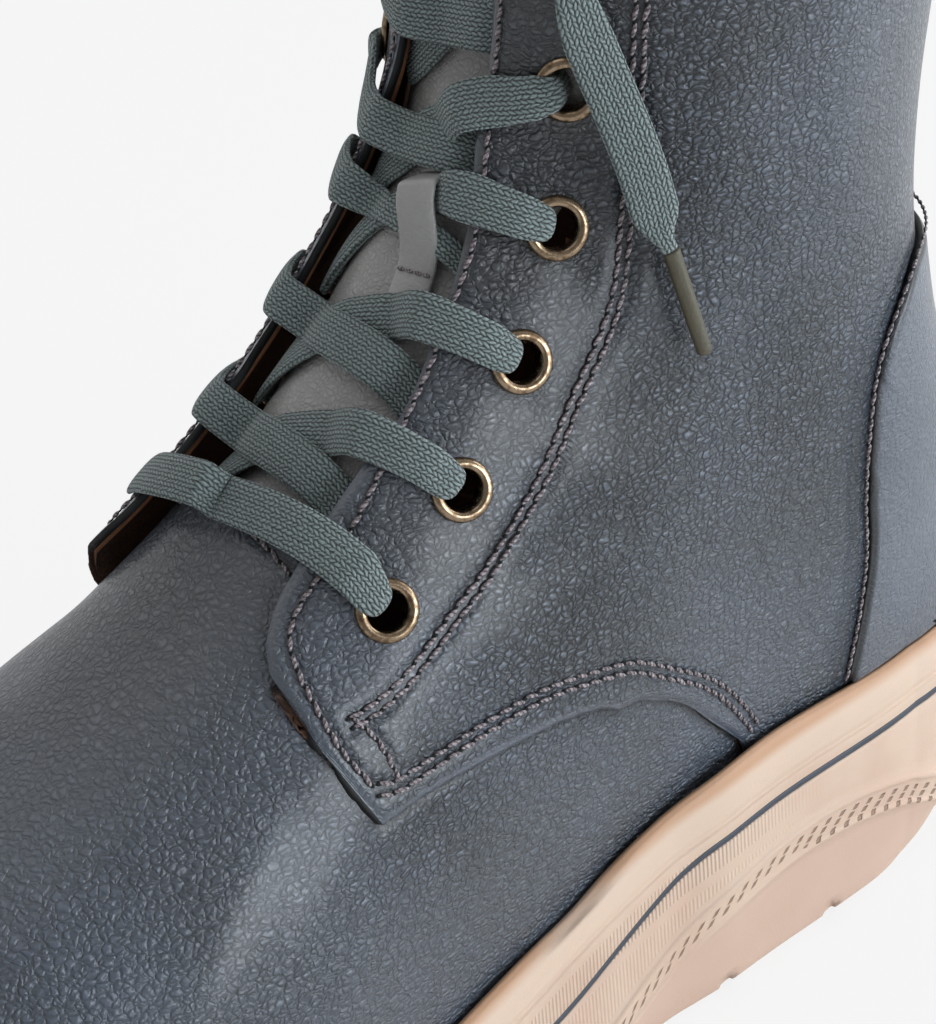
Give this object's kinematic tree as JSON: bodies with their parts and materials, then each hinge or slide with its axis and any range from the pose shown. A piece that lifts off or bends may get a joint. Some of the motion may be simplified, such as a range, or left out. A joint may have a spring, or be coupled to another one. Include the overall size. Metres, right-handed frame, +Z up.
{
  "type": "lace-up ankle boot",
  "caption": "Left ankle boot in blue-grey pebbled leather with teal flat laces, brass eyelets and a tan wedge sole with a navy pinstripe.",
  "frame": {"origin": "the floor under the heel seat", "axes": "+X to the toe, +Y to the outer side of the left foot, +Z up"},
  "size_m": [0.272, 0.097, 0.205],
  "materials": {
    "blue_leather": "pebbled, satin",
    "grey_leather": "smooth, satin",
    "braid": "matte flat braid",
    "tag": "satin",
    "brass": "antique, polished flange",
    "tan_rubber": "matte moulded",
    "navy_stripe": "satin",
    "lining": "matte"
  },
  "bodies": {
    "root": {"upper": "blue_leather", "counter": "blue_leather", "pull_loop": "blue_leather", "tongue": "grey_leather", "tongue_keeper": "grey_leather", "insole": "lining", "sole": "tan_rubber", "pinstripe": "navy_stripe", "lace_bar": "braid", "lace_crossing_1": "braid", "lace_crossing_2": "braid", "lace_crossing_3": "braid", "lace_crossing_4": "braid", "lace_crossing_5": "braid", "lace_end": "braid", "lace_tag": "tag", "eyelet_outer_1": "brass", "eyelet_outer_2": "brass", "eyelet_outer_3": "brass", "eyelet_outer_4": "brass", "eyelet_outer_5": "brass", "eyelet_outer_6": "brass", "eyelet_inner_1": "brass", "eyelet_inner_2": "brass", "eyelet_inner_3": "brass", "eyelet_inner_4": "brass", "eyelet_inner_5": "brass", "eyelet_inner_6": "brass"}
  },
  "joints": []
}
